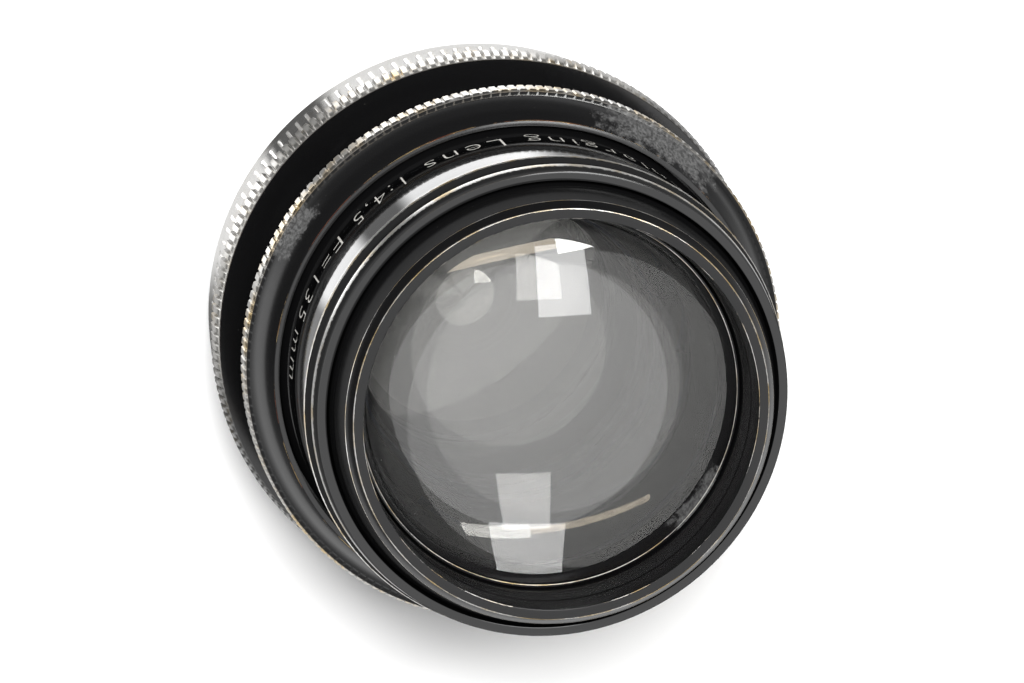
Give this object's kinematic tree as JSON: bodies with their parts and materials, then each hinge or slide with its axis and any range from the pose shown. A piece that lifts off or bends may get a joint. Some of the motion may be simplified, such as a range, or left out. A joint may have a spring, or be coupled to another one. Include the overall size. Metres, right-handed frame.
{
  "type": "enlarging lens in barrel mount",
  "caption": "Black lacquered barrel lens with a milled iris ring, a mounting flange and a coarse-slotted lock ring, built from its separate pieces with a working iris.",
  "frame": {"origin": "centre of the rear rim, on the optical axis", "axes": "+Z along the optical axis, out of the front glass; -Y through the middle of the engraving"},
  "size_m": [0.0518, 0.0518, 0.0488],
  "materials": {
    "black_lacquer": "glossy black lacquer over brass, worn to the metal on its edges",
    "matt_black": "matt black inner paint",
    "nickel": "worn nickel plating on brass",
    "steel": "turned steel screws",
    "blade_steel": "blued spring steel",
    "glass": "polished optical glass with a thin coating"
  },
  "bodies": {
    "barrel": {"main_barrel": "black_lacquer", "iris_plate_screw_1": "steel", "iris_plate_screw_2": "steel", "iris_plate_screw_3": "steel", "front_barrel": "black_lacquer", "front_cell": "black_lacquer", "front_element": "glass", "front_retaining_ring": "black_lacquer", "second_element": "glass", "second_retaining_ring": "matt_black", "iris_base_plate": "matt_black", "rear_cell": "matt_black", "rear_pair_front_glass": "glass", "rear_pair_back_glass": "glass", "rear_retaining_ring": "matt_black", "mounting_flange": "black_lacquer"},
    "iris_ring": {"iris_control_ring": "black_lacquer", "iris_cam_ring": "matt_black", "drive_screw": "steel"},
    "lock_ring": {"lock_ring": "nickel"},
    "iris_blade_1": {"iris_blade_1": "blade_steel"},
    "iris_blade_2": {"iris_blade_2": "blade_steel"},
    "iris_blade_3": {"iris_blade_3": "blade_steel"},
    "iris_blade_4": {"iris_blade_4": "blade_steel"},
    "iris_blade_5": {"iris_blade_5": "blade_steel"},
    "iris_blade_6": {"iris_blade_6": "blade_steel"},
    "iris_blade_7": {"iris_blade_7": "blade_steel"},
    "iris_blade_8": {"iris_blade_8": "blade_steel"},
    "iris_blade_9": {"iris_blade_9": "blade_steel"},
    "iris_blade_10": {"iris_blade_10": "blade_steel"},
    "iris_blade_11": {"iris_blade_11": "blade_steel"},
    "iris_blade_12": {"iris_blade_12": "blade_steel"}
  },
  "joints": [
    {"name": "iris_turn", "type": "hinge", "parent": "barrel", "child": "iris_ring", "pos_m": [0, 0, 0.0275], "axis": [0, 0, 1], "range_deg": [0, 60]},
    {"name": "lock_ring_turn", "type": "hinge", "parent": "barrel", "child": "lock_ring", "pos_m": [0, 0, 0.0111], "axis": [0, 0, 1], "range_deg": [0, 360]},
    {"name": "iris_blade_1_swing", "type": "hinge", "parent": "barrel", "child": "iris_blade_1", "pos_m": [0.0186, 0, 0.0236], "axis": [0, 0, 1], "range_deg": [0, 30]},
    {"name": "iris_blade_2_swing", "type": "hinge", "parent": "barrel", "child": "iris_blade_2", "pos_m": [0.01611, 0.0093, 0.0236], "axis": [0, 0, 1], "range_deg": [0, 30]},
    {"name": "iris_blade_3_swing", "type": "hinge", "parent": "barrel", "child": "iris_blade_3", "pos_m": [0.0093, 0.01611, 0.0236], "axis": [0, 0, 1], "range_deg": [0, 30]},
    {"name": "iris_blade_4_swing", "type": "hinge", "parent": "barrel", "child": "iris_blade_4", "pos_m": [0, 0.0186, 0.0236], "axis": [0, 0, 1], "range_deg": [0, 30]},
    {"name": "iris_blade_5_swing", "type": "hinge", "parent": "barrel", "child": "iris_blade_5", "pos_m": [-0.0093, 0.01611, 0.0236], "axis": [0, 0, 1], "range_deg": [0, 30]},
    {"name": "iris_blade_6_swing", "type": "hinge", "parent": "barrel", "child": "iris_blade_6", "pos_m": [-0.01611, 0.0093, 0.0236], "axis": [0, 0, 1], "range_deg": [0, 30]},
    {"name": "iris_blade_7_swing", "type": "hinge", "parent": "barrel", "child": "iris_blade_7", "pos_m": [-0.0186, 0, 0.0236], "axis": [0, 0, 1], "range_deg": [0, 30]},
    {"name": "iris_blade_8_swing", "type": "hinge", "parent": "barrel", "child": "iris_blade_8", "pos_m": [-0.01611, -0.0093, 0.0236], "axis": [0, 0, 1], "range_deg": [0, 30]},
    {"name": "iris_blade_9_swing", "type": "hinge", "parent": "barrel", "child": "iris_blade_9", "pos_m": [-0.0093, -0.01611, 0.0236], "axis": [0, 0, 1], "range_deg": [0, 30]},
    {"name": "iris_blade_10_swing", "type": "hinge", "parent": "barrel", "child": "iris_blade_10", "pos_m": [0, -0.0186, 0.0236], "axis": [0, 0, 1], "range_deg": [0, 30]},
    {"name": "iris_blade_11_swing", "type": "hinge", "parent": "barrel", "child": "iris_blade_11", "pos_m": [0.0093, -0.01611, 0.0236], "axis": [0, 0, 1], "range_deg": [0, 30]},
    {"name": "iris_blade_12_swing", "type": "hinge", "parent": "barrel", "child": "iris_blade_12", "pos_m": [0.01611, -0.0093, 0.0236], "axis": [0, 0, 1], "range_deg": [0, 30]}
  ],
  "couplings": [
    {"joint": "iris_blade_1_swing", "follows": "iris_turn", "ratio": 0.5},
    {"joint": "iris_blade_2_swing", "follows": "iris_turn", "ratio": 0.5},
    {"joint": "iris_blade_3_swing", "follows": "iris_turn", "ratio": 0.5},
    {"joint": "iris_blade_4_swing", "follows": "iris_turn", "ratio": 0.5},
    {"joint": "iris_blade_5_swing", "follows": "iris_turn", "ratio": 0.5},
    {"joint": "iris_blade_6_swing", "follows": "iris_turn", "ratio": 0.5},
    {"joint": "iris_blade_7_swing", "follows": "iris_turn", "ratio": 0.5},
    {"joint": "iris_blade_8_swing", "follows": "iris_turn", "ratio": 0.5},
    {"joint": "iris_blade_9_swing", "follows": "iris_turn", "ratio": 0.5},
    {"joint": "iris_blade_10_swing", "follows": "iris_turn", "ratio": 0.5},
    {"joint": "iris_blade_11_swing", "follows": "iris_turn", "ratio": 0.5},
    {"joint": "iris_blade_12_swing", "follows": "iris_turn", "ratio": 0.5}
  ]
}
